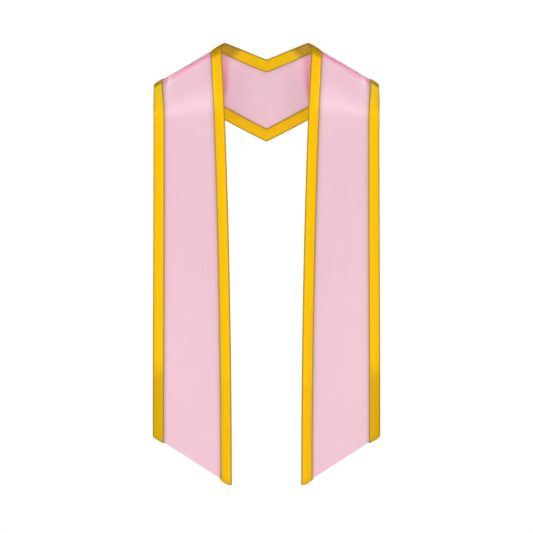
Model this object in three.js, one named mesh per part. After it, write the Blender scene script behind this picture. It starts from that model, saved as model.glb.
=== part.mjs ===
// Graduation stole as worn: two satin strips over the shoulders, seamed in a V behind the neck.
// Millimetres, +Z up, the front faces -Y, the origin is midway between the two shoulder seats.
import * as THREE from "three";

// Widths across, each from the middle plane to the edge of the cloth.
const NECK_HALF_WIDTH = 74; // inner edge where it crosses the shoulder ridge
const SHOULDER_HALF_WIDTH = 190.6; // outer edge where it crosses the shoulder ridge
const CHEST_HALF_GAP = 72.1; // inner edge of a front at the chest
const CHEST_HALF_WIDTH = 191.7; // outer edge of a front at the chest
const HEM_HALF_GAP = 60.4; // inner edge of a front at its hem
const HEM_HALF_WIDTH = 192.8; // outer edge of a front at its hem

// Drops below the neck end of the ridge, and slopes.
const CHEST_DROP = 126;
const HEM_DROP = 753.3; // the low inner corner of each hem
const NAPE_DROP = 26.8; // upper point of the V behind the neck
const BACK_DROP = 164.6; // lower point of the V
const SHOULDER_SLOPE_DEG = 30.4;
const HEM_SLOPE_DEG = 32.6;
const NAPE_SLOPE_DEG = 21.4; // upper edge of the V
const BACK_SLOPE_DEG = 26; // lower edge of the V
const CHEST_LEAN_DEG = 2.2; // the inner edges close in below the chest

// The bend over the shoulder, a cone that is tighter at its outer end.
const NECK_ROLL_RADIUS = 12;
const OUTER_ROLL_RADIUS = 3.6;
const ROLL_FRONT_DEG = 22; // where the bend starts, from the upright
const ROLL_BACK_DEG = 135; // where it ends, behind the ridge
const SHOULDER_CURL = 19; // the outer edge turns back at the end of the shoulder
const CURL_WIDTH = 40;
const CURL_DROP = 58; // height over which that turn dies out

// Depths from the ridge, forwards or back.
const CHEST_FORWARD = 44;
const CHEST_OUTER_FORWARD = 22;
const HEM_FORWARD = 47;
const HEM_OUTER_FORWARD = 36;
const NAPE_BACK = 50;
const BACK_BACK = 86;

// The cloth and its binding, whose faces are measured from the fold round the edge.
const CLOTH = 1.2;
const TRIM_WALL = 1.0;
const TRIM_FACE = 19; // binding width on the outside
const TRIM_LINING_FACE = 21; // and on the side that faces the wearer
const TRIM_TAIL = 2.2; // the binding ends this far below the hem
const GAP = 0.3;
const SEAM_GAP = 0.4; // between the two halves at the middle seam

// Spans of a half, from the middle seam to the hem: how many sections each one gets.
const SPANS = [
  { span: "back", sections: 15 },
  { span: "roll", sections: 8 },
  { span: "yoke", sections: 9 },
  { span: "front", sections: 16 },
];

// Slow waves of the hanging fronts: height as a share of the front, depth and length in mm.
const WAVES = [
  { wave: "breast", at: 0.17, depth: -1.6, length: 75 },
  { wave: "middle", at: 0.42, depth: 1.8, length: 95 },
  { wave: "low", at: 0.72, depth: -1.3, length: 90 },
];

const MIDDLE_COLUMNS = 6; // of the cloth between its two bindings

const rad = THREE.MathUtils.degToRad;
const vec = (x, y, z) => new THREE.Vector3(x, y, z);

// Shoulder directions of the right half: along the ridge inwards, and up across it.
const slope = rad(SHOULDER_SLOPE_DEG);
const alongRidge = vec(-Math.cos(slope), 0, Math.sin(slope));
const acrossRidge = vec(Math.sin(slope), 0, Math.cos(slope));

// A point of an edge on the bend, and its heading towards the front, at one turn of the bend.
function rollKnot(edge, turnDeg) {
  const turn = rad(turnDeg);
  const past = turn - Math.PI / 2;
  const point = edge.ridge
    .clone()
    .addScaledVector(acrossRidge, edge.roll * (Math.sin(turn) - 1))
    .addScaledVector(alongRidge, edge.roll * Math.tan(slope) * past)
    .add(vec(0, -edge.roll * Math.cos(turn), 0));
  const heading = acrossRidge
    .clone()
    .multiplyScalar(-Math.cos(slope) * Math.cos(turn))
    .addScaledVector(alongRidge, -Math.sin(slope))
    .add(vec(0, -Math.cos(slope) * Math.sin(turn), 0));
  return { point, heading };
}

// Length of the handles that make one cubic span follow the bend.
function rollHandle(edge) {
  const swept = rad(ROLL_BACK_DEG - ROLL_FRONT_DEG);
  return ((4 / 3) * Math.tan(swept / 4) * edge.roll) / Math.cos(slope);
}

// Knots of an edge: point, heading to the hem, and the reach of its handles before and after.
function edgeKnots(edge) {
  const back = rollKnot(edge, ROLL_BACK_DEG);
  const front = rollKnot(edge, ROLL_FRONT_DEG);
  const handle = rollHandle(edge);
  const seamSlope = Math.tan(rad(edge.seamSlopeDeg));
  return [
    { ...edge.seam, heading: vec(1, 0, seamSlope).normalize(), after: edge.seamReach },
    { ...back, before: edge.backReach, after: handle },
    { ...front, before: handle, after: edge.yokeReach },
    { ...edge.chest, before: edge.chestReach, after: edge.frontReach },
    { ...edge.hem, before: edge.frontReach },
  ];
}

// Layers of the folded binding off the middle of the cloth, and the rise of the ridge over its seat.
const trimInside = CLOTH / 2 + GAP;
const trimOutside = trimInside + TRIM_WALL;
const trimNose = GAP + TRIM_WALL;
const seatRise = trimOutside / Math.cos(slope);

const ridgeFall = (SHOULDER_HALF_WIDTH - NECK_HALF_WIDTH) * Math.tan(slope);
const hemRise = (HEM_HALF_WIDTH - HEM_HALF_GAP) * Math.tan(rad(HEM_SLOPE_DEG));
const down = vec(0, 0, -1);
const chestLean = vec(-Math.tan(rad(CHEST_LEAN_DEG)), 0, -1).normalize();

// Each edge: its crossing of the ridge, the points it passes and how far its curve reaches there.
const innerEdge = {
  ridge: vec(NECK_HALF_WIDTH, 0, seatRise),
  roll: NECK_ROLL_RADIUS,
  seam: { point: vec(SEAM_GAP / 2, NAPE_BACK, seatRise - NAPE_DROP) },
  seamSlopeDeg: NAPE_SLOPE_DEG,
  seamReach: 24,
  backReach: 24,
  yokeReach: 12,
  chestReach: 52,
  chest: {
    point: vec(CHEST_HALF_GAP, -CHEST_FORWARD, seatRise - CHEST_DROP),
    heading: chestLean,
  },
  frontReach: 200,
  hem: { point: vec(HEM_HALF_GAP, -HEM_FORWARD, seatRise - HEM_DROP), heading: down },
};
const outerEdge = {
  ridge: vec(SHOULDER_HALF_WIDTH, 0, seatRise - ridgeFall),
  roll: OUTER_ROLL_RADIUS,
  seam: { point: vec(SEAM_GAP / 2, BACK_BACK, seatRise - BACK_DROP) },
  seamSlopeDeg: BACK_SLOPE_DEG,
  seamReach: 90,
  backReach: 60,
  yokeReach: 24,
  chestReach: 24,
  chest: {
    point: vec(CHEST_HALF_WIDTH, -CHEST_OUTER_FORWARD, seatRise - CHEST_DROP - 8),
    heading: down,
  },
  frontReach: 180,
  hem: {
    point: vec(HEM_HALF_WIDTH, -HEM_OUTER_FORWARD, seatRise - HEM_DROP + hemRise),
    heading: down,
  },
};

// The edge as one cubic curve for each span, sampled at the sections.
function edgePoints(edge) {
  const knots = edgeKnots(edge);
  const points = [];
  SPANS.forEach(({ sections }, i) => {
    const [a, b] = [knots[i], knots[i + 1]];
    const curve = new THREE.CubicBezierCurve3(
      a.point,
      a.point.clone().addScaledVector(a.heading, a.after),
      b.point.clone().addScaledVector(b.heading, -b.before),
      b.point,
    );
    for (let k = i ? 1 : 0; k <= sections; k++) points.push(curve.getPoint(k / sections));
  });
  return points;
}

const innerPoints = edgePoints(innerEdge);
const outerPoints = edgePoints(outerEdge);
const LAST = innerPoints.length - 1;
const smooth = (t) => THREE.MathUtils.smoothstep(t, 0, 1);

// How far the outer edge is turned back, from 1 at the shoulder to 0 below it and behind it.
function curlAt({ x, z }) {
  const below = (z - seatRise + ridgeFall + CURL_DROP) / CURL_DROP;
  const behind = (x - SHOULDER_HALF_WIDTH + CURL_DROP) / CURL_DROP;
  return smooth(below) * smooth(behind);
}

// Depth of the slow waves at a height.
function waveAt(z) {
  const fade = smooth((-z - CHEST_DROP / 2) / CHEST_DROP);
  return WAVES.reduce((sum, { at, depth, length }) => {
    const from = (z + at * HEM_DROP) / length;
    return sum + depth * fade * Math.exp(-from * from);
  }, 0);
}

// A point of the cloth's middle layer: section number, and mm along its ruling from the inner edge.
function middlePoint(section, along) {
  const inner = innerPoints[section];
  const outer = outerPoints[section];
  const width = inner.distanceTo(outer);
  const point = inner.clone().lerp(outer, along / width);
  const curl = Math.max(0, 1 - (width - along) / CURL_WIDTH);
  point.y += SHOULDER_CURL * curl * curl * curlAt(outer);
  if (point.y < 0) point.y += waveAt(point.z);
  return point;
}

const rulingWidth = (section) => innerPoints[section].distanceTo(outerPoints[section]);

// Outward unit normal of the middle layer, level across the seam so the halves stay apart.
function normalAt(section, along) {
  const before = Math.max(0, section - 1);
  const after = Math.min(LAST, section + 1);
  const share = along / rulingWidth(section);
  const run = middlePoint(after, share * rulingWidth(after)).sub(
    middlePoint(before, share * rulingWidth(before)),
  );
  const across = middlePoint(section, along + 1).sub(middlePoint(section, along - 1));
  const normal = run.cross(across);
  if (section === 0) normal.x = 0;
  return normal.normalize();
}

const layerPoint = (section, along, height) =>
  middlePoint(section, along).addScaledVector(normalAt(section, along), height);

// Mm along the ruling for each mm of cloth square to an edge, at one section.
function rulingStretch(points, section) {
  const run = points[Math.min(LAST, section + 1)].clone().sub(points[Math.max(0, section - 1)]);
  const ruling = outerPoints[section].clone().sub(innerPoints[section]);
  return 1 / Math.sin(run.angleTo(ruling));
}

// The same at the outer edge, where the turned-back strip covers less of the ruling.
function outerStretch(section) {
  const share = 1 - TRIM_FACE / 2 / CURL_WIDTH;
  const steepness = ((2 * SHOULDER_CURL) / CURL_WIDTH) * share * curlAt(outerPoints[section]);
  return rulingStretch(outerPoints, section) / Math.hypot(1, steepness);
}

// Closed outline of the cloth in one section: [mm from the inner edge, height off the middle].
// Beside each edge its columns are those of the binding, so the two lie parallel.
function clothOutline(section) {
  const width = rulingWidth(section);
  const face = TRIM_FACE - trimNose;
  const near = face * rulingStretch(innerPoints, section);
  const far = width - face * outerStretch(section);
  const middle = Array.from(
    { length: MIDDLE_COLUMNS + 1 },
    (_, i) => near + ((far - near) * i) / MIDDLE_COLUMNS,
  );
  const row = [0, near / 2, ...middle, (far + width) / 2, width];
  return [...row.map((a) => [a, CLOTH / 2]), ...row.reverse().map((a) => [a, -CLOTH / 2])];
}

// Outline of a binding folded round an edge: [mm in from the edge, height off the middle].
// The outer contour comes first and the inner one comes back beside it, point for point.
function trimOutline() {
  const face = TRIM_FACE - trimNose;
  const lining = TRIM_LINING_FACE - trimNose;
  return [
    [face, trimOutside],
    [face / 2, trimOutside],
    [0.4, trimOutside],
    [-trimNose * 0.75, trimOutside * 0.62],
    [-trimNose, 0],
    [-trimNose * 0.75, -trimOutside * 0.62],
    [0.4, -trimOutside],
    [lining / 2, -trimOutside],
    [lining, -trimOutside],
    [lining, -trimInside],
    [lining / 2, -trimInside],
    [0.4, -trimInside],
    [-GAP, -trimInside * 0.6],
    [-GAP, 0],
    [-GAP, trimInside * 0.6],
    [0.4, trimInside],
    [face / 2, trimInside],
    [face, trimInside],
  ];
}

function innerTrimOutline(section) {
  const stretch = rulingStretch(innerPoints, section);
  return trimOutline()
    .map(([a, h]) => [a * stretch, h])
    .reverse();
}

function outerTrimOutline(section) {
  const stretch = outerStretch(section);
  const width = rulingWidth(section);
  return trimOutline().map(([a, h]) => [width - a * stretch, h]);
}

// A closed solid through the outlines of all sections, mirrored for the left half.
function sweep(outlineAt, side, tail) {
  const rings = [];
  for (let section = 0; section <= LAST; section++) {
    rings.push(outlineAt(section).map(([a, h]) => layerPoint(section, a, h)));
  }
  for (const point of rings[LAST]) point.z -= tail;
  const count = rings[0].length;
  const positions = rings.flat().flatMap((p) => [side * p.x, p.y, p.z]);
  const faces = [];
  for (let s = 0; s < LAST; s++) {
    for (let i = 0; i < count; i++) {
      const j = (i + 1) % count;
      const [a, b] = [s * count + i, s * count + j];
      faces.push([a, a + count, b], [b, a + count, b + count]);
    }
  }
  // Each end is a strip between the outline's two sides.
  const end = LAST * count;
  for (let i = 0; i < count / 2 - 1; i++) {
    const [a, b, c, d] = [i, i + 1, count - 2 - i, count - 1 - i];
    faces.push([a, b, c], [a, c, d]);
    faces.push([end + a, end + c, end + b], [end + a, end + d, end + c]);
  }
  const geometry = new THREE.BufferGeometry();
  geometry.setAttribute("position", new THREE.Float32BufferAttribute(positions, 3));
  geometry.setIndex(faces.flatMap(([a, b, c]) => (side > 0 ? [a, b, c] : [a, c, b])));
  geometry.computeVertexNormals();
  return geometry;
}

function piece(name, color, geometry) {
  const mesh = new THREE.Mesh(geometry, new THREE.MeshStandardMaterial({ color, roughness: 0.5 }));
  mesh.name = name;
  return mesh;
}

const PINK = 0xf0c7d5;
const GOLD = 0xfcc60c;
const stole = new THREE.Group();
stole.name = "graduation_stole";
for (const [name, side] of [
  ["left", -1],
  ["right", 1],
]) {
  stole.add(piece(`${name}_panel`, PINK, sweep(clothOutline, side, 0)));
  stole.add(piece(`${name}_inner_trim`, GOLD, sweep(innerTrimOutline, side, TRIM_TAIL)));
  stole.add(piece(`${name}_outer_trim`, GOLD, sweep(outerTrimOutline, side, TRIM_TAIL)));
}

export default stole;
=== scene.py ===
# %% [markdown]
# # A graduation stole in satin, as worn
# The stole is two long strips of pink satin, one for each shoulder. They are seamed in a V behind the
# neck, and gold satin bindings are folded over both long edges. The measured solids give the size and
# the worn shape. This lesson dresses them: finer cloth, puffed bindings, stitches and satin finishes.

# %% Load the measured solids
import math

import bmesh
import bpy
import numpy as np
from mathutils import Matrix, Vector


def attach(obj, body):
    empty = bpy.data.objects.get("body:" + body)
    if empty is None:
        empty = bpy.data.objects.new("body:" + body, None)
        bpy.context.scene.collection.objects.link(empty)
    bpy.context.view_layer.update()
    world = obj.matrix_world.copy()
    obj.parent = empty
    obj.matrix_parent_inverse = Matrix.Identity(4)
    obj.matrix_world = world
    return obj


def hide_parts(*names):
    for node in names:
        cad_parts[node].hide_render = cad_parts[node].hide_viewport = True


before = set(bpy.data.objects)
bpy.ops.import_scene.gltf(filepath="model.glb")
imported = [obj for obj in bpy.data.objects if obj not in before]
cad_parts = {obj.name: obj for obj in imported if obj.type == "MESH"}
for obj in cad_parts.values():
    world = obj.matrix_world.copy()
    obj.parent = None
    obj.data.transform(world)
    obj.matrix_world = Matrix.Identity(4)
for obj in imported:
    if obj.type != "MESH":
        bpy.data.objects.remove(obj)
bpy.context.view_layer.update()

print("nodes:", sorted(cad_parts))

# %% [markdown]
# ## The camera
# The picture is taken from straight in front, from so far away that both ends of the stole look the
# same size. A long lens far off gives that flat view, and still lets other views turn round the stole.

# %% Camera
MM = 0.001
PIXEL = 1.71 * MM  # what one pixel of the picture covers on the stole
PICTURE_PIXELS, SENSOR_WIDTH = 533, 36
CAMERA_FAR, CAMERA_HEIGHT = 16.0, -0.3782

camera_data = bpy.data.cameras.new("camera")
camera = bpy.data.objects.new("camera", camera_data)
bpy.context.scene.collection.objects.link(camera)
bpy.context.scene.camera = camera
camera_data.lens = SENSOR_WIDTH * CAMERA_FAR / (PICTURE_PIXELS * PIXEL)
camera_data.clip_end = 60
camera.location = (0.0, -CAMERA_FAR, CAMERA_HEIGHT)
camera.rotation_euler = (math.radians(90), 0, 0)
print("lens", round(camera_data.lens), "mm")

# %% [markdown]
# ## The studio
# Satin shows its folds through broad, soft light. Five softboxes in front, from level to high, light
# the hanging fronts and put the pale band on the slope below the shoulders. Three low ones light the
# lining behind the neck, which faces down. Two at the sides and one behind do the turned edges and the
# back, and a pale room fills the rest. The floor is seen but throws no light.

# %% Lights and a pale floor
def softbox(name, place, aim, width, height, watts):
    """A rectangular light at a place, turned towards a point."""
    data = bpy.data.lights.new(name, "AREA")
    data.shape = "RECTANGLE"
    data.size, data.size_y, data.energy = width, height, watts
    light = bpy.data.objects.new(name, data)
    light.location = place
    toward = Vector(aim) - Vector(place)
    light.rotation_euler = toward.to_track_quat("-Z", "Y").to_euler()
    bpy.context.scene.collection.objects.link(light)
    return light


middle, upper, neck = (0, 0, -0.38), (0, 0, -0.3), (0, 0, -0.1)
softbox("top_softbox", (0, -2.7, 2.5), middle, 2.0, 0.8, 16)
softbox("front_softbox", (0, -3.6, 1.3), middle, 1.4, 1.0, 15)
softbox("front_left_softbox", (-1.8, -3.2, 1.25), middle, 0.8, 0.9, 14)
softbox("front_right_softbox", (1.8, -3.2, 1.25), middle, 0.8, 0.9, 14)
softbox("level_softbox", (0, -7.0, -0.2), upper, 2.4, 2.4, 46)
softbox("low_softbox", (0, -4.6, -3.0), neck, 3.4, 1.0, 37)
softbox("low_left_softbox", (-1.5, -0.5, -2.3), neck, 1.3, 1.3, 24)
softbox("low_right_softbox", (1.5, -0.5, -2.3), neck, 1.3, 1.3, 24)
softbox("left_softbox", (-2.6, -1.5, 1.0), middle, 1.0, 1.6, 36)
softbox("right_softbox", (2.6, -1.5, 1.0), middle, 1.0, 1.6, 36)
softbox("back_softbox", (0, 3.4, 0.6), middle, 3.0, 2.4, 90)

world = bpy.data.worlds.new("pale_room")
bpy.context.scene.world = world
world.use_nodes = True
room = world.node_tree
room.nodes.clear()
room_out = room.nodes.new("ShaderNodeOutputWorld")
room_seen = room.nodes.new("ShaderNodeBackground")
room_seen.inputs["Color"].default_value = (1, 1, 1, 1)
room_light = room.nodes.new("ShaderNodeBackground")
room_light.inputs["Color"].default_value = (1, 1, 1, 1)
room_light.inputs["Strength"].default_value = 0.18
room_path = room.nodes.new("ShaderNodeLightPath")
room_mix = room.nodes.new("ShaderNodeMixShader")
room.links.new(room_path.outputs["Is Camera Ray"], room_mix.inputs[0])
room.links.new(room_light.outputs[0], room_mix.inputs[1])
room.links.new(room_seen.outputs[0], room_mix.inputs[2])
room.links.new(room_mix.outputs[0], room_out.inputs["Surface"])

FLOOR_HALF_WIDTH, FLOOR_LEVEL = 9.0, -0.82
floor_mesh = bpy.data.meshes.new("floor")
floor_form = bmesh.new()
bmesh.ops.create_grid(floor_form, x_segments=1, y_segments=1, size=FLOOR_HALF_WIDTH)
bmesh.ops.translate(floor_form, vec=(0, 0, FLOOR_LEVEL), verts=floor_form.verts)
floor_form.to_mesh(floor_mesh)
floor_form.free()
floor = bpy.data.objects.new("floor", floor_mesh)
bpy.context.scene.collection.objects.link(floor)
floor.visible_shadow = floor.visible_diffuse = floor.visible_glossy = False
floor_paint = bpy.data.materials.new("pale_floor")
floor_paint.use_nodes = True
floor_tree = floor_paint.node_tree
floor_shader = floor_tree.nodes["Principled BSDF"]
floor_shader.inputs["Base Color"].default_value = (0.7, 0.7, 0.7, 1)
floor_shader.inputs["Roughness"].default_value = 0.9
floor_glow = floor_tree.nodes.new("ShaderNodeEmission")
floor_glow.inputs["Strength"].default_value = 1.0
floor_path = floor_tree.nodes.new("ShaderNodeLightPath")
floor_mix = floor_tree.nodes.new("ShaderNodeMixShader")
floor_tree.links.new(floor_path.outputs["Is Camera Ray"], floor_mix.inputs[0])
floor_tree.links.new(floor_shader.outputs[0], floor_mix.inputs[1])
floor_tree.links.new(floor_glow.outputs[0], floor_mix.inputs[2])
floor_tree.links.new(floor_mix.outputs[0], floor_tree.nodes["Material Output"].inputs["Surface"])
floor_mesh.materials.append(floor_paint)
bpy.context.scene.view_settings.view_transform = "Standard"

# %% [markdown]
# ## The two edges of the strip
# A strip that is only bent, not stretched, is ruled: straight lines run across it from one edge to the
# other. So the whole worn shape follows from its two edges. Each edge is four cubic curves joined end
# to end: behind the neck, over the shoulder, down to the chest, and down to the hem. The numbers are
# those of the solids. A place along the strip is a "station" from 0 at the middle seam to 4 at the hem.

# %% Sizes in millimetres
NECK_HALF_WIDTH, SHOULDER_HALF_WIDTH = 74.0, 190.6
SHOULDER_SLOPE, HEM_SLOPE = math.radians(30.4), math.radians(32.6)
ROLL_FRONT, ROLL_BACK = math.radians(22), math.radians(135)
SHOULDER_CURL, CURL_WIDTH, CURL_DROP = 19.0, 40.0, 58.0
CHEST_DROP, HEM_DROP = 126.0, 753.3
CLOTH, TRIM_HALF = 1.2, 1.9
TRIM_FACE, TRIM_LINING_FACE, TRIM_NOSE = 19.0, 21.0, 1.3
HEM_INNER, HEM_OUTER = 60.4, 192.8
SEAT_RISE = TRIM_HALF / math.cos(SHOULDER_SLOPE)
RIDGE_FALL = (SHOULDER_HALF_WIDTH - NECK_HALF_WIDTH) * math.tan(SHOULDER_SLOPE)
HEM_RISE = (HEM_OUTER - HEM_INNER) * math.tan(HEM_SLOPE)
WAVES = [  # share of the drop, depth and length of each slow wave of the fronts
    (0.17, -1.6, 75.0),
    (0.42, 1.8, 95.0),
    (0.72, -1.3, 90.0),
]

inner_edge = dict(
    ridge=(NECK_HALF_WIDTH, 0, SEAT_RISE), roll=12.0,
    seam=(0.0, 50.0, SEAT_RISE - 26.8), seam_slope=math.radians(21.4), seam_reach=24.0,
    back_reach=24.0, yoke_reach=12.0, chest_reach=52.0,
    chest=(72.1, -44.0, SEAT_RISE - CHEST_DROP), chest_lean=math.radians(2.2),
    front_reach=200.0, hem=(HEM_INNER, -47.0, SEAT_RISE - HEM_DROP),
)
outer_edge = dict(
    ridge=(SHOULDER_HALF_WIDTH, 0, SEAT_RISE - RIDGE_FALL), roll=3.6,
    seam=(0.0, 86.0, SEAT_RISE - 164.6), seam_slope=math.radians(26), seam_reach=90.0,
    back_reach=60.0, yoke_reach=24.0, chest_reach=24.0,
    chest=(191.7, -22.0, SEAT_RISE - CHEST_DROP - 8), chest_lean=0.0,
    front_reach=180.0, hem=(HEM_OUTER, -36.0, SEAT_RISE - HEM_DROP + HEM_RISE),
)
print("seat rise", round(SEAT_RISE, 2), "ridge fall", round(RIDGE_FALL, 1))

# %% Edge curves
along_ridge = np.array([-math.cos(SHOULDER_SLOPE), 0, math.sin(SHOULDER_SLOPE)])
across_ridge = np.array([math.sin(SHOULDER_SLOPE), 0, math.cos(SHOULDER_SLOPE)])
forward = np.array([0.0, -1.0, 0.0])


def roll_knot(edge, turn):
    """A point on the bend over the shoulder, and which way the edge runs there."""
    point = (np.array(edge["ridge"])
             + across_ridge * edge["roll"] * (math.sin(turn) - 1)
             + along_ridge * edge["roll"] * math.tan(SHOULDER_SLOPE) * (turn - math.pi / 2)
             + forward * edge["roll"] * math.cos(turn))
    heading = (-across_ridge * math.cos(SHOULDER_SLOPE) * math.cos(turn)
               - along_ridge * math.sin(SHOULDER_SLOPE)
               + forward * math.cos(SHOULDER_SLOPE) * math.sin(turn))
    return point, heading


def edge_spans(edge):
    """The four control points of each of the edge's four cubic curves."""
    swept = ROLL_BACK - ROLL_FRONT
    handle = 4 / 3 * math.tan(swept / 4) * edge["roll"] / math.cos(SHOULDER_SLOPE)
    back, back_way = roll_knot(edge, ROLL_BACK)
    front, front_way = roll_knot(edge, ROLL_FRONT)
    seam, chest, hem = (np.array(edge[k]) for k in ("seam", "chest", "hem"))
    seam_way = np.array([math.cos(edge["seam_slope"]), 0, math.sin(edge["seam_slope"])])
    chest_way = np.array([-math.sin(edge["chest_lean"]), 0, -math.cos(edge["chest_lean"])])
    down = np.array([0, 0, -1.0])
    return [
        (seam, seam + seam_way * edge["seam_reach"], back - back_way * edge["back_reach"], back),
        (back, back + back_way * handle, front - front_way * handle, front),
        (front, front + front_way * edge["yoke_reach"],
         chest - chest_way * edge["chest_reach"], chest),
        (chest, chest + chest_way * edge["front_reach"], hem - down * edge["front_reach"], hem),
    ]


inner_spans, outer_spans = edge_spans(inner_edge), edge_spans(outer_edge)


def edge_at(spans, stations):
    """Points of an edge, in millimetres, at an array of stations."""
    stations = np.asarray(stations, float)
    which = np.clip(stations.astype(int), 0, 3)
    t = (stations - which)[..., None]
    controls = np.array(spans)[which]
    a, b, c, d = (controls[..., k, :] for k in range(4))
    return a * (1 - t) ** 3 + 3 * b * t * (1 - t) ** 2 + 3 * c * t**2 * (1 - t) + d * t**3


print("inner hem corner", edge_at(inner_spans, 4.0).round(1))

# %% [markdown]
# ## The middle layer of the cloth
# Every thread and fold is placed from one surface: a station along the strip, and a distance in from
# the neck edge. The outer edge is turned back at the end of the shoulder, as cloth does where the
# shoulder rounds off, and the hanging fronts have three slow waves. A height is measured square to
# that surface, positive on the outside of the strip.

# %% Surface of the strip
NORMAL_STEP, STRETCH_STEP = 0.004, 0.01  # shares of a span over which a slope is measured


def smooth(t):
    """An even rise from 0 to 1 that starts and ends level."""
    t = np.clip(t, 0, 1)
    return t * t * (3 - 2 * t)


def curl_share(outer):
    """How far the outer edge is turned back, 1 at the end of the shoulder and 0 away from it."""
    below = (outer[..., 2] - SEAT_RISE + RIDGE_FALL + CURL_DROP) / CURL_DROP
    behind = (outer[..., 0] - SHOULDER_HALF_WIDTH + CURL_DROP) / CURL_DROP
    return smooth(below) * smooth(behind)


def wave_depth(z):
    """How far the slow waves push the hanging front at a height."""
    fade = smooth((-z - CHEST_DROP / 2) / CHEST_DROP)
    return sum(depth * fade * np.exp(-(((z + at * HEM_DROP) / length) ** 2))
               for at, depth, length in WAVES)


def strip_width(stations):
    """Width of the strip along the straight lines from edge to edge."""
    return np.linalg.norm(edge_at(outer_spans, stations) - edge_at(inner_spans, stations), axis=-1)


def middle_layer(stations, along):
    """Points of the middle layer, from arrays of stations and millimetres from the neck edge."""
    stations, along = np.broadcast_arrays(stations, along)
    inner, outer = edge_at(inner_spans, stations), edge_at(outer_spans, stations)
    width = np.linalg.norm(outer - inner, axis=-1)
    point = inner + (outer - inner) * (along / width)[..., None]
    turned = np.clip(1 - (width - along) / CURL_WIDTH, 0, None) ** 2
    point[..., 1] += SHOULDER_CURL * turned * curl_share(outer)
    point[..., 1] += np.where(point[..., 1] < 0, wave_depth(point[..., 2]), 0)
    return point


def unit(v):
    return v / np.linalg.norm(v, axis=-1, keepdims=True)


def outward(stations, along):
    """Unit normals of the middle layer, towards the outside of the strip."""
    stations, along = np.broadcast_arrays(np.asarray(stations, float), along)
    before, after = (np.clip(stations + step, 0, 4) for step in (-NORMAL_STEP, NORMAL_STEP))
    share = along / strip_width(stations)
    run = (middle_layer(after, share * strip_width(after))
           - middle_layer(before, share * strip_width(before)))
    normal = np.cross(run, middle_layer(stations, along + 1) - middle_layer(stations, along - 1))
    normal[..., 0] = np.where(stations <= 0, 0, normal[..., 0])
    return unit(normal)


def stretch_at(spans, stations):
    """Millimetres along a ruling for each millimetre of cloth square to an edge."""
    run = (edge_at(spans, np.clip(stations + STRETCH_STEP, 0, 4))
           - edge_at(spans, np.clip(stations - STRETCH_STEP, 0, 4)))
    ruling = edge_at(outer_spans, stations) - edge_at(inner_spans, stations)
    cosine = (unit(run) * unit(ruling)).sum(-1)
    return 1 / np.sqrt(1 - cosine**2)


def outer_stretch_at(stations):
    """The same at the outer edge, which slopes where the end of the shoulder is turned back."""
    share = 1 - TRIM_FACE / 2 / CURL_WIDTH
    curl = curl_share(edge_at(outer_spans, stations))
    return stretch_at(outer_spans, stations) / np.hypot(1, 2 * SHOULDER_CURL / CURL_WIDTH * share * curl)


def stations_for(*counts):
    """Stations of the rows of a mesh, with a count for each of the four spans."""
    return np.concatenate([i + np.arange(n) / n for i, n in enumerate(counts)] + [[4.0]])


def run_length(stations, along):
    """Length along the strip at each station, in millimetres from the middle seam."""
    points = middle_layer(stations, along)
    steps = np.linalg.norm(np.diff(points, axis=0), axis=-1)
    return np.concatenate([[0], np.cumsum(steps)])


coarse = stations_for(40, 20, 30, 100)
half_length = run_length(coarse, strip_width(coarse) / 2)[-1]
print("one half measures", round(half_length), "mm along its middle")

# %% [markdown]
# ## Where the cloth is folded or seamed
# Where the cloth rolls over the shoulder it turns away from the light, and beside the neck the back of
# the strip turns forward in the shade behind the fronts. That shade is painted into the colour as a
# deeper tint: on the bend over the shoulder, the first fingers' width behind it, and the wedge beside
# the neck. Each is a number on each point of the mesh, which the finish reads. A table gives the
# painted shade by its distance below the shoulder line.

# %% Painted fold shade and seam masks
# Painted shade of the bend, by millimetres below the shoulder line, for the cloth and the two bindings.
PINK_BEND_SHADE = [(0, 0.5), (3.4, 0.66), (5.1, 0.83), (6.8, 0.81), (8.5, 0.68), (10.3, 0.43), (12.2, 0)]
INNER_BINDING_BEND_SHADE = [(0, 1), (8, 0.95), (11, 0.75), (14, 0.4), (17, 0)]
OUTER_BINDING_BEND_SHADE = [(0, 1), (3.5, 1), (7.5, 0)]
# How the painted shade fades out behind the bend.
CLOTH_FADE, TRIM_FADE, LINING_FADE = (3, 20), (3, 22), (25, 25)  # start behind the bend, and reach
# Where the painted shade behind the neck lies.
NECK_WEDGE_SHADE = dict(  # millimetres back from the shoulder line, below it, and to both sides of the neck edge
    front=2, depth=6, low=112, low_fade=40, beside=4, beside_fade=14,
    inside=3, reach=13, taper=8, least=2, power=1.6,
)


def bend_shade(points, lengths, stations, table, fade):
    """Painted shade of the bend over the shoulder: by the table in front of its top, and fading out behind.
    """
    behind_start, behind_reach = fade
    x, z = np.maximum(points[..., 0], NECK_HALF_WIDTH), points[..., 2]
    below = SEAT_RISE - (x - NECK_HALF_WIDTH) * math.tan(SHOULDER_SLOPE) - z
    ahead = np.interp(below, [row[0] for row in table], [row[1] for row in table])
    bend_start = np.interp(1.0, stations, lengths[:, 0])
    behind = 1 - smooth((bend_start - behind_start - lengths) / behind_reach)
    top = 1 + (ROLL_BACK - math.pi / 2) / (ROLL_BACK - ROLL_FRONT)
    return np.where(stations[:, None] > top, ahead, behind)


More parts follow.
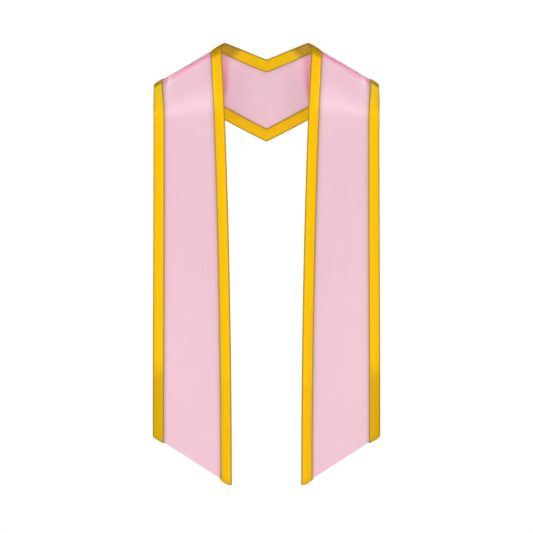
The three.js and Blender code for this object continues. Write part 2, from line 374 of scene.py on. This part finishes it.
def neck_shade(points):
    """Painted shade in the wedge behind the neck where the back of the strip turns forward, from 0 to 1."""
    x, y, z = (points[..., k] for k in range(3))
    reach = np.clip(NECK_WEDGE_SHADE["reach"] + z / NECK_WEDGE_SHADE["taper"], NECK_WEDGE_SHADE["least"], None)
    behind = smooth((y - NECK_WEDGE_SHADE["front"]) / NECK_WEDGE_SHADE["depth"])
    above = smooth((z + NECK_WEDGE_SHADE["low"]) / NECK_WEDGE_SHADE["low_fade"])
    past = np.clip(x - NECK_HALF_WIDTH - NECK_WEDGE_SHADE["beside"], 0, None)
    within = np.clip(NECK_HALF_WIDTH - NECK_WEDGE_SHADE["inside"] - x, 0, None)
    beside = np.exp(-(past / NECK_WEDGE_SHADE["beside_fade"]) ** 2)
    return behind * above * beside * np.exp(-(within / reach) ** NECK_WEDGE_SHADE["power"])


print("the cloth's bend tint reaches", PINK_BEND_SHADE[-1][0], "mm below the shoulder line")

# %% [markdown]
# ## Laying cloth on the surface
# Cloth is often draped by a simulation. This stole hangs in broad, even strips, so it is laid instead:
# a flat grid from one operator is given a place on the surface for each of its points. Its rows run
# along the strip, and a UV map in metres of cloth lets the weave follow them. The left half is the
# right one mirrored. A mirrored grid is inside out, so its faces are turned round.

# %% Grid laid on the surface
def mesh_object(name, form):
    """A bmesh as a smooth-shaded object at the origin, in metres."""
    mesh = bpy.data.meshes.new(name)
    form.to_mesh(mesh)
    form.free()
    mesh.shade_smooth()
    made = bpy.data.objects.new(name, mesh)
    bpy.context.scene.collection.objects.link(made)
    return made


def even_shading(piece):
    """Keeps the thin rims of the cloth from darkening the shading of its faces."""
    weights = piece.modifiers.new("even shading", "WEIGHTED_NORMAL")
    weights.mode = "FACE_AREA"
    weights.weight = 100


def laid_grid(name, points, uv, masks, side, closed=False):
    """A grid laid over an array of points in millimetres, with its UV map and point masks.

    A closed grid ends where it starts, so its doubled points are merged.
    """
    rows, cols = points.shape[0] - 1, points.shape[1] - 1
    form = bmesh.new()
    bmesh.ops.create_grid(form, x_segments=cols, y_segments=rows, size=1.0)
    cloth_map = form.loops.layers.uv.new("cloth")
    layers = {key: form.verts.layers.float.new(key) for key in masks}
    cell = {}
    for vert in form.verts:
        j = round((vert.co.y + 1) / 2 * rows)
        i = round((vert.co.x + 1) / 2 * cols)
        cell[vert.index] = (j, i)
        x, y, z = points[j, i] * MM
        vert.co = (side * x, y, z)
        for key, layer in layers.items():
            vert[layer] = float(masks[key][j, i])
    for face in form.faces:
        for loop in face.loops:
            loop[cloth_map].uv = uv[cell[loop.vert.index]]
    if closed:
        bmesh.ops.remove_doubles(form, verts=form.verts, dist=1e-7)
    if side < 0:
        bmesh.ops.reverse_faces(form, faces=form.faces)
    return mesh_object(name, form)


print("grids are laid in order of rows and columns, and carry their masks")

# %% [markdown]
# ## Satin
# Satin is woven so that long threads float on the face. Close to, it has fine streaks along the
# strip; from afar, a soft broad gloss that pales the colour where it faces the light. One node group
# makes the streaks, the cloudiness, the painted shade of folds, and the seam line and painted shade
# along the bindings, and both the pink and the gold cloth use it. A pattern is stretched by giving it
# more repeats a metre across than along.

# %% Satin node group
STREAKS, CLOUDS, THREADS = (420, 9, 1), (16, 11, 1), (3200, 260, 1)  # repeats a metre
STREAK_TINT, CLOUD_TINT, CLOUDINESS = (0.8, 0.74, 0.76, 1), (0.75, 0.68, 0.7, 1), 0.05
NOISE_LOW, NOISE_HIGH = 0.3, 0.7  # the noise seldom leaves this range
GLOSSY, DULL = 0.30, 0.36
STREAK_HEIGHT = 0.6


def node(tree, kind, **values):
    """A new shader node with some of its settings."""
    made = tree.nodes.new(kind)
    for key, value in values.items():
        setattr(made, key, value)
    return made


def satin_group():
    """The weave: colour, roughness and height from a place on the cloth, the cloth colour, a painted shade
    colour, a colour for the seam line and painted shade, and their two masks.
    """
    group = bpy.data.node_groups.new("satin_weave", "ShaderNodeTree")
    face = group.interface
    for name, kind, default in [
        ("Place", "NodeSocketVector", (0, 0, 0)),
        ("Cloth", "NodeSocketColor", (0.8, 0.8, 0.8, 1)),
        # The next four sockets: the colour of the painted shade, the colour of the seam line and painted
        # shade along the bindings, and the two masks of where they go.
        ("Painted Shade Colour", "NodeSocketColor", (0.5, 0.5, 0.5, 1)),
        ("Seam", "NodeSocketColor", (0.3, 0.3, 0.3, 1)),
        ("Painted Shade", "NodeSocketFloat", 0.0),
        ("Joint And Painted Shade", "NodeSocketFloat", 0.0),
        ("Streaks", "NodeSocketFloat", 0.05),
    ]:
        face.new_socket(name, in_out="INPUT", socket_type=kind).default_value = default
    for name, kind in [("Colour", "NodeSocketColor"), ("Roughness", "NodeSocketFloat"),
                       ("Height", "NodeSocketFloat")]:
        face.new_socket(name, in_out="OUTPUT", socket_type=kind)
    given, result = node(group, "NodeGroupInput"), node(group, "NodeGroupOutput")
    link = group.links.new

    def noise(detail, repeats):
        mapping = node(group, "ShaderNodeMapping")
        mapping.inputs["Scale"].default_value = repeats
        link(given.outputs["Place"], mapping.inputs["Vector"])
        texture = node(group, "ShaderNodeTexNoise", noise_dimensions="3D")
        texture.inputs["Scale"].default_value = 1.0
        texture.inputs["Detail"].default_value = detail
        link(mapping.outputs[0], texture.inputs["Vector"])
        return texture.outputs["Fac"]

    def blend(mode, factor, a, b):
        mix = node(group, "ShaderNodeMix", data_type="RGBA", blend_type=mode)
        for socket, value in ((mix.inputs[0], factor), (mix.inputs[6], a), (mix.inputs[7], b)):
            if hasattr(value, "is_linked"):
                link(value, socket)
            else:
                socket.default_value = value
        return mix.outputs[2]

    def ranged(value, low, high):
        remap = node(group, "ShaderNodeMapRange")
        for socket, given_value in (("From Min", NOISE_LOW), ("From Max", NOISE_HIGH),
                                    ("To Min", low), ("To Max", high)):
            remap.inputs[socket].default_value = given_value
        link(value, remap.inputs["Value"])
        return remap.outputs["Result"]

    streak, cloud, thread = noise(3.0, STREAKS), noise(2.0, CLOUDS), noise(2.0, THREADS)
    streak_pull = node(group, "ShaderNodeMath", operation="MULTIPLY")
    link(ranged(streak, 0.0, 1.0), streak_pull.inputs[0])
    link(given.outputs["Streaks"], streak_pull.inputs[1])
    # Streaks and clouds are the cloth's own uneven tone.
    shaded = blend("MULTIPLY", streak_pull.outputs[0], given.outputs["Cloth"], STREAK_TINT)
    cloudy = blend("MULTIPLY", ranged(cloud, 0.0, CLOUDINESS), shaded, CLOUD_TINT)
    # Painted shade: a deeper colour blended in at bends and behind the neck.
    folded = blend("MIX", given.outputs["Painted Shade"], cloudy, given.outputs["Painted Shade Colour"])
    # The faint middle seam line, and painted shade along the bindings' edges and in their shadow on the
    # cloth.
    with_joint_and_painted_shade = blend("MIX", given.outputs["Joint And Painted Shade"], folded, given.outputs["Seam"])
    link(with_joint_and_painted_shade, result.inputs["Colour"])
    link(ranged(streak, GLOSSY, DULL), result.inputs["Roughness"])
    both = node(group, "ShaderNodeMath", operation="MULTIPLY_ADD")
    link(streak, both.inputs[0])
    both.inputs[1].default_value = STREAK_HEIGHT
    link(thread, both.inputs[2])
    link(both.outputs[0], result.inputs["Height"])
    return group


satin = satin_group()
print("satin group has", len(satin.nodes), "nodes")

# %% [markdown]
# ## The two finishes and the thread
# The pink cloth and the gold binding share the weave and differ in colour and gloss. Each has a second,
# paler colour that is painted light: the lining is painted lighter, to make up for the shade it lies
# in, and the binding where it is turned back at the end of the shoulder carries a painted highlight. A
# number on each point blends the two. The shader itself stays in each material. A little sheen on the
# pink gives the soft rim that satin has where it turns away, and the gold has a yellow gloss.

# %% Pink satin, gold satin, gold thread
def satin_finish(name, cloth, pale, folded, seam, streaks, gloss, sheen):
    """A satin of four colours: cloth, painted light, painted shade, and the seam line with painted shade;
    with streaks of a strength, a tinted gloss and some sheen.
    """
    material = bpy.data.materials.new(name)
    material.use_nodes = True
    tree = material.node_tree
    shader = tree.nodes["Principled BSDF"]
    weave = node(tree, "ShaderNodeGroup", node_tree=satin)
    place = node(tree, "ShaderNodeUVMap", uv_map="cloth")
    painted_shade = node(tree, "ShaderNodeAttribute", attribute_name="painted_shade")
    joint_and_painted_shade = node(tree, "ShaderNodeAttribute", attribute_name="joint_and_painted_shade")
    painted_light_mask = node(tree, "ShaderNodeAttribute", attribute_name="pale")
    bump = node(tree, "ShaderNodeBump")
    bump.inputs["Strength"].default_value = 0.25
    bump.inputs["Distance"].default_value = 0.00012
    # Painted light: the cloth colour blended towards a lighter one where its mask says.
    cloth_with_painted_light = node(tree, "ShaderNodeMix", data_type="RGBA")
    cloth_with_painted_light.inputs[6].default_value, cloth_with_painted_light.inputs[7].default_value = (*cloth, 1), (*pale, 1)
    # The deeper colour is painted shade; the dark one is the seam line and painted shade along the
    # bindings.
    weave.inputs["Painted Shade Colour"].default_value = (*folded, 1)
    weave.inputs["Seam"].default_value = (*seam, 1)
    weave.inputs["Streaks"].default_value = streaks
    link = tree.links.new
    link(place.outputs["UV"], weave.inputs["Place"])
    link(painted_light_mask.outputs["Fac"], cloth_with_painted_light.inputs[0])
    link(cloth_with_painted_light.outputs[2], weave.inputs["Cloth"])
    link(painted_shade.outputs["Fac"], weave.inputs["Painted Shade"])
    link(joint_and_painted_shade.outputs["Fac"], weave.inputs["Joint And Painted Shade"])
    link(weave.outputs["Colour"], shader.inputs["Base Color"])
    link(weave.outputs["Roughness"], shader.inputs["Roughness"])
    link(weave.outputs["Height"], bump.inputs["Height"])
    link(bump.outputs["Normal"], shader.inputs["Normal"])
    shader.inputs["Specular IOR Level"].default_value = 0.9
    shader.inputs["Specular Tint"].default_value = (*gloss, 1)
    shader.inputs["Sheen Weight"].default_value = sheen
    shader.inputs["Sheen Roughness"].default_value = 0.4
    return material


# Colours: the cloth; a lighter one for painted light; a deeper one for painted shade; a dark one for the
# seam line and the painted shade along the bindings.
pink_satin = satin_finish("pink_satin", (0.83, 0.52, 0.61), (0.93, 0.61, 0.74), (0.75, 0.25, 0.38),
                          (0.42, 0.22, 0.20), 0.18, (1, 1, 1), 0.05)
gold_satin = satin_finish("gold_satin", (0.96, 0.54, 0.002), (1.0, 0.67, 0.008), (0.42, 0.23, 0.001),
                          (0.24, 0.15, 0.03), 0.35, (1, 0.62, 0.04), 0)

gold_thread = bpy.data.materials.new("gold_thread")
gold_thread.use_nodes = True
thread_shader = gold_thread.node_tree.nodes["Principled BSDF"]
thread_noise = node(gold_thread.node_tree, "ShaderNodeTexNoise")
thread_noise.inputs["Scale"].default_value = 900
thread_tint = node(gold_thread.node_tree, "ShaderNodeValToRGB")
thread_tint.color_ramp.elements[0].color = (0.80, 0.46, 0.02, 1)
thread_tint.color_ramp.elements[1].color = (1.0, 0.66, 0.06, 1)
thread_place = node(gold_thread.node_tree, "ShaderNodeTexCoord")
gold_thread.node_tree.links.new(thread_place.outputs["Object"], thread_noise.inputs["Vector"])
gold_thread.node_tree.links.new(thread_noise.outputs["Fac"], thread_tint.inputs["Fac"])
gold_thread.node_tree.links.new(thread_tint.outputs["Color"], thread_shader.inputs["Base Color"])
thread_shader.inputs["Roughness"].default_value = 0.45
print("finishes:", pink_satin.name, gold_satin.name, gold_thread.name)

# %% [markdown]
# ## The pink cloth
# Each half is one long strip, so it is one grid laid on the surface, row by row from the middle seam
# to the hem. It is sewn as a flat tube, face and lining, and pinched shut at the hem, so the grid
# goes out over the face and back over the lining. Near the bindings the stitches draw the cloth up a
# little, so its height ripples there. The fold over the shoulder is pressed to a low crest. At the neck
# corner of the hem the cloth is cut a little shorter, so that the rounded binding covers it.

# %% Cloth of both halves
RIPPLES = [(0.5, 2.9, 1.0, 0), (0.3, 1.7, 2.1, 1), (0.2, 5.3, 0.7, 0)]  # share, length, shift, wander
WANDER_LENGTH = 23


def ripple(lengths, seed):
    """Uneven ripples along a seam, about a finger's width apart, from -1 to 1."""
    wander = np.sin(lengths / WANDER_LENGTH)
    return sum(share * np.sin(lengths / length + shift * seed + drift * wander)
               for share, length, shift, drift in RIPPLES)


CLOTH_ROWS = (64, 34, 44, 190)
BOUND_COLUMNS, CLOTH_COLUMNS, CROWDING = 8, 40, 0.45  # columns crowd towards the bindings
LAST_ROW, FRONT_LENGTH = 0.8, 630  # from the hem, and from the chest to the hem
PUCKER, PUCKER_REACH = 0.16, 5.0
CREST, CREST_WIDTH, CREST_FADE = 1.5, 5.5, 18
CORNER_RISE, CORNER_REACH = [(0, 4.0), (0.08, 3.0), (0.2, 1.0), (0.35, 0)], 12  # share, and rise
CLOTH_LAP = 1.0  # how far each half reaches past the middle seam
# Painted shadow that each binding casts on the cloth beside it: strength, and reach in millimetres.
BINDING_PAINTED_SHADOW, BINDING_PAINTED_SHADOW_REACH = 0.85, 3.0
SEAM_CREASE, SEAM_WIDTH = 0.03, 1.2


def cloth_half(name, side):
    """One half of the strip, a flat tube of face and lining from the middle seam to the hem."""
    stations = stations_for(*CLOTH_ROWS)
    stations = np.concatenate([[0.0], stations[:-1], [4 - LAST_ROW / FRONT_LENGTH, 4.0]])
    width = strip_width(stations)
    near = (TRIM_FACE - TRIM_NOSE) * stretch_at(inner_spans, stations)
    far = width - (TRIM_FACE - TRIM_NOSE) * outer_stretch_at(stations)
    bound = np.linspace(0, 1, BOUND_COLUMNS + 1)[None, :-1]
    even = np.linspace(0, 1, CLOTH_COLUMNS + 1)[None]
    spread = CROWDING * (1 - np.cos(np.pi * even)) / 2 + (1 - CROWDING) * even
    across = np.concatenate([
        near[:, None] * bound,
        near[:, None] + (far - near)[:, None] * spread,
        width[:, None] - (width - far)[:, None] * bound[:, ::-1],
    ], axis=1)
    along = np.concatenate([across, across[:, ::-1], across[:, :1]], axis=1)
    face = np.ones(along.shape)
    face[:, across.shape[1]:-1] = -1
    lengths = run_length(stations, width / 2)[:, None]
    from_seam = np.minimum(np.abs(along - near[:, None]), np.abs(far[:, None] - along))
    inside = (along >= near[:, None]) & (along <= far[:, None])
    layer = face * CLOTH / 2
    layer[0] = layer[-1] = 0
    pucker = PUCKER * ripple(lengths, side) * np.exp(-from_seam / PUCKER_REACH)
    roll_front = np.interp(2.0, stations, lengths[:, 0])
    crest = CREST * np.exp(-(((lengths - roll_front) / CREST_WIDTH) ** 2))
    height = layer + np.where(inside, pucker + crest * smooth(from_seam / CREST_FADE), 0)
    points = middle_layer(stations[:, None], along)
    points = points + outward(stations[:, None], along) * height[..., None]
    points[0, :, 0] = -CLOTH_LAP
    tip = np.interp(along / near[:, None], *zip(*CORNER_RISE))
    points[..., 2] += tip * smooth(1 - (lengths[-1] - lengths) / CORNER_REACH)
    # Painted shadow of the bindings on the cloth beside them, full where they cover it; the middle seam is
    # a faint dark line of its own.
    joint_and_painted_shade = np.where(inside, BINDING_PAINTED_SHADOW * np.exp(-from_seam / BINDING_PAINTED_SHADOW_REACH), 1)
    middle_seam = SEAM_CREASE * np.exp(-((points[..., 0] / SEAM_WIDTH) ** 2))
    # Painted shade: the bend over the shoulder on the face, and on the lining also the wedge behind the
    # neck.
    bend = bend_shade(points, lengths, stations, PINK_BEND_SHADE, CLOTH_FADE)
    masks = {
        "painted_shade": np.where(face > 0, bend, np.maximum(bend, neck_shade(points))),
        "joint_and_painted_shade": np.maximum(joint_and_painted_shade, middle_seam),
        # Painted light: the lining is painted lighter.
        "pale": (face < 0).astype(float),
    }
    uv = np.stack([along * MM, lengths * MM + 0 * along], axis=-1)
    piece = laid_grid(name, points, uv, masks, side, closed=True)
    piece.data.flip_normals()  # columns that run outwards from the neck leave a grid inside out
    even_shading(piece)
    piece.data.materials.append(pink_satin)
    return piece


left_cloth = cloth_half("left_cloth", -1)
right_cloth = cloth_half("right_cloth", 1)
for piece, solid in ((left_cloth, "left_panel"), (right_cloth, "right_panel")):
    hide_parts(solid)
    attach(piece, "root")
print("cloth faces:", len(left_cloth.data.polygons))

# %% [markdown]
# ## The gold bindings
# A binding is a ribbon folded lengthwise over the raw edge and stitched through both faces. Its cross
# section is therefore a flat U: over the outside, round the edge and back over the lining. The ribbon
# puffs up between the fold and its stitches, which pull it down near its free edges. A section swept
# along a curve would not lean with the cloth, so the U is laid on the surface as a grid, one row after
# another, and the Solidify modifier gives the ribbon its thickness. Its tail hangs below the hem.

# %% Cross section of a binding
LEG_SHARES = np.array([1.0, 0.992, 0.975, 0.95, 0.91, 0.86, 0.78, 0.68, 0.56, 0.44, 0.33, 0.23, 0.15,
                       0.09, 0.045, 0.015])  # of the way from the fold to the free edge
CROWN_HEIGHT, FREE_EDGE_HEIGHT, CROWN_POWER = 2.0, 0.65, 2.6


def binding_section():
    """Distance in from the cloth's edge, height, and distance from a seam, round the folded ribbon."""
    def leg(reach, sign):
        crown = (1 - np.abs(2 * LEG_SHARES - 1) ** CROWN_POWER) ** (1 / CROWN_POWER)
        lowest = np.where(LEG_SHARES > 0.5, FREE_EDGE_HEIGHT, 0.0)
        height = lowest + (CROWN_HEIGHT - lowest) * crown
        return LEG_SHARES * reach - TRIM_NOSE, sign * height

    out_a, out_h = leg(TRIM_FACE, 1)
    in_a, in_h = leg(TRIM_LINING_FACE, -1)
    a = np.concatenate([out_a, [-TRIM_NOSE], in_a[::-1]])
    h = np.concatenate([out_h, [0.0], in_h[::-1]])
    reach = np.where(h >= 0, TRIM_FACE, TRIM_LINING_FACE) - TRIM_NOSE
    return a, h, reach - a


section_in, section_height, section_seam = binding_section()
print("points round a binding:", len(section_in))

# %% Bindings of both halves
BINDING_ROWS = (70, 44, 60, 330)
STITCH_IN = 1.9  # the stitches run this far from a binding's free edge
STITCH_DIP, DIP_WIDTH = 0.34, 0.7
PUFF_RIPPLE, PUFF_REACH, RIPPLE_SEEDS = 0.05, 7.0, {"inner": 1.3, "outer": 4.1}
TAILS = {  # share of the way in from the fold, and how far the binding hangs below the hem there
    "outer": [(0, 1.2), (0.04, 2.6), (0.1, 3.7), (0.2, 3.9), (0.5, 3.7), (0.75, 3.1), (0.9, 1.5), (1, 0.3)],
    "inner": [(0, -1.6), (0.08, -0.2), (0.3, 2.7), (0.55, 3.9), (0.85, 3.1), (1, 1.0)],
}
TAIL_REACH, TAIL_PINCH, PINCH_REACH = 8, 0.8, 3
# Painted shade: the bindings darker towards their lower ends, as they turn a little away from the light.
LOW_PAINTED_SHADE = {"outer": (531, 579, 0.5), "inner": (555, 595, 0.12)}  # from, to and strength
# Painted shade along each binding's free edge, at its fold and at its tail's end, where the rounded ribbon
# turns away from the light.
EDGE_SHADE, FOLD_SHADE = (0.2, 2.6), (0.3, 3.2)  # start and reach, from the free edge and the fold
PAINTED_EDGE_SHADE, PAINTED_HEM_SHADE, PAINTED_HEM_SHADE_REACH = 0.9, 0.8, 2.0
# How far the binding's lining is painted lighter.
LINING_PAINTED_LIGHT = 0.45
BINDING_LAP, RIBBON = 0.4, 0.45


def binding(name, side, edge):
    """The ribbon folded over one edge of a half, from the middle seam to its tail."""
    stations = stations_for(*BINDING_ROWS)
    spans = inner_spans if edge == "inner" else outer_spans
    stretch = stretch_at(spans, stations) if edge == "inner" else outer_stretch_at(stations)
    width = strip_width(stations)
    away = section_in[None] * stretch[:, None]
    along = away if edge == "inner" else width[:, None] - away
    lengths = run_length(stations, along[:, 0])[:, None]
    uneven = ripple(lengths, RIPPLE_SEEDS[edge] + side)
    puff = 1 + PUFF_RIPPLE * uneven * np.exp(-(section_seam[None] / PUFF_REACH) ** 2)
    dip = STITCH_DIP * np.exp(-(((section_seam[None] - STITCH_IN) / DIP_WIDTH) ** 2))
    to_end = lengths[-1] - lengths
    share = (section_in + TRIM_NOSE) / (section_in + TRIM_NOSE + section_seam)
    hang = np.interp(share, *zip(*TAILS[edge]))[None] * smooth(1 - to_end / TAIL_REACH)
    pinch = 1 - TAIL_PINCH * smooth((hang - to_end) / PINCH_REACH)
    height = (section_height[None] * puff - np.sign(section_height)[None] * dip) * pinch
    points = middle_layer(stations[:, None], along)
    points = points + outward(stations[:, None], along) * height[..., None]
    points[0, :, 0] = -BINDING_LAP
    # Painted shade of the bend over the shoulder. On the inner binding's lining side it reaches further
    # behind.
    table = INNER_BINDING_BEND_SHADE if edge == "inner" else OUTER_BINDING_BEND_SHADE
    bend = bend_shade(points, lengths, stations, table, TRIM_FADE)
    if edge == "inner":
        lining_bend = bend_shade(points, lengths, stations, table, LINING_FADE)
        bend = np.where(section_height[None] <= 0, lining_bend, bend)
    # Painted shade towards the lower ends of the bindings.
    low_start, low_end, low_shade_strength = LOW_PAINTED_SHADE[edge]
    low = low_shade_strength * smooth((-points[..., 2] - low_start) / (low_end - low_start))
    points[..., 2] -= hang
    # Painted highlight where the outer binding is turned back at the end of the shoulder.
    turned_back = curl_share(edge_at(outer_spans, stations)) if edge == "outer" else 0 * stations
    turned_painted_highlight = 1 - (1 - turned_back) ** 2
    # Painted shade at the free edges and the fold of the ribbon, and at the tail's end.
    joint_and_painted_shade = np.maximum(1 - smooth((section_seam - EDGE_SHADE[0]) / EDGE_SHADE[1]),
                        1 - smooth((section_in + TRIM_NOSE - FOLD_SHADE[0]) / FOLD_SHADE[1]))
    masks = {
        "painted_shade": np.maximum(bend, low),
        "joint_and_painted_shade": np.maximum(PAINTED_EDGE_SHADE * joint_and_painted_shade[None], PAINTED_HEM_SHADE * np.exp(-to_end / PAINTED_HEM_SHADE_REACH)),
        "pale": np.where(section_height[None] < 0, LINING_PAINTED_LIGHT, turned_painted_highlight[:, None]),
    }
    uv = np.stack([section_in[None] * MM + 0 * along, lengths * MM + 0 * along], axis=-1)
    piece = laid_grid(name, points, uv, masks, side)
    if edge == "outer":
        piece.data.flip_normals()  # its columns run the other way round than the inner binding's
    ribbon = piece.modifiers.new("ribbon", "SOLIDIFY")
    ribbon.thickness = RIBBON * MM
    ribbon.offset = -1
    even_shading(piece)
    piece.data.materials.append(gold_satin)
    return piece


bindings = {}
for side_name, side in (("left", -1), ("right", 1)):
    for edge in ("inner", "outer"):
        piece = binding(f"{side_name}_{edge}_binding", side, edge)
        bindings[side_name, edge] = piece
        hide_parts(f"{side_name}_{edge}_trim")
        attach(piece, "root")
print("bindings:", [b.name for b in bindings.values()])

# %% [markdown]
# ## Stitches
# One row of thread runs along each free edge of every binding, on both faces. Bump could draw it, but
# a thread lies on top of the satin and catches the light, so it is real: each stitch is a small
# flattened bead set along the row, 2.3 mm long in a pitch of 3 mm. Each has only a few dozen faces,
# because there are more than two thousand. They are made a few at a time, which is quicker.

# %% Rows of stitches
ROW_STATIONS = (60, 30, 50, 200)
STITCH_PITCH, STITCH_HEIGHT = 3.0, 1.36
STITCH_SIZE = (1.15, 0.24, 0.20)  # half sizes along the row, across it and upwards
LOOK_AHEAD = 0.5  # how far on the row's direction is taken
A_FEW = 20


def stitch_row(form, stations, along, height, side):
    """Adds a row of stitches at a fixed height over a line of the surface."""
    lengths = run_length(stations, along)
    marks = np.arange(STITCH_PITCH, lengths[-1] - STITCH_PITCH, STITCH_PITCH)

    def line(lengthwise):
        """Stations and distances in from the neck edge, at lengths along the row."""
        at = np.interp(lengthwise, lengths, stations)
        return at, np.interp(lengthwise, lengths, along)

    here = middle_layer(*line(marks))
    ahead = unit(middle_layer(*line(marks + LOOK_AHEAD)) - here)
    normal = outward(*line(marks))
    here = (here + normal * height) * MM
    thread = Matrix.Diagonal([size * MM for size in STITCH_SIZE] + [1])
    mirror = Matrix.Diagonal((side, 1, 1, 1))
    for first in range(0, len(marks), A_FEW):
        few = bmesh.new()
        for k in range(first, min(first + A_FEW, len(marks))):
            turned = Matrix((ahead[k], np.cross(normal[k], ahead[k]), normal[k])).transposed()
            place = mirror @ Matrix.Translation(here[k]) @ turned.to_4x4() @ thread
            bmesh.ops.create_uvsphere(few, u_segments=6, v_segments=4, radius=1.0, matrix=place)
        batch = bpy.data.meshes.new("batch")
        few.to_mesh(batch)
        few.free()
        form.from_mesh(batch)
        bpy.data.meshes.remove(batch)


def stitches(name, side, edge):
    """The rows of stitches on both faces of one binding."""
    form = bmesh.new()
    stations = stations_for(*ROW_STATIONS)
    spans = inner_spans if edge == "inner" else outer_spans
    stretch = stretch_at(spans, stations) if edge == "inner" else outer_stretch_at(stations)
    for reach, height in ((TRIM_FACE, STITCH_HEIGHT), (TRIM_LINING_FACE, -STITCH_HEIGHT)):
        away = (reach - TRIM_NOSE - STITCH_IN) * stretch
        along = away if edge == "inner" else strip_width(stations) - away
        stitch_row(form, stations, along, height, side)
    if side < 0:
        bmesh.ops.reverse_faces(form, faces=form.faces)
    piece = mesh_object(name, form)
    piece.data.materials.append(gold_thread)
    return piece


for side_name, side in (("left", -1), ("right", 1)):
    for edge in ("inner", "outer"):
        piece = stitches(f"{side_name}_{edge}_stitches", side, edge)
        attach(piece, "root")
        print(piece.name, len(piece.data.polygons), "faces")
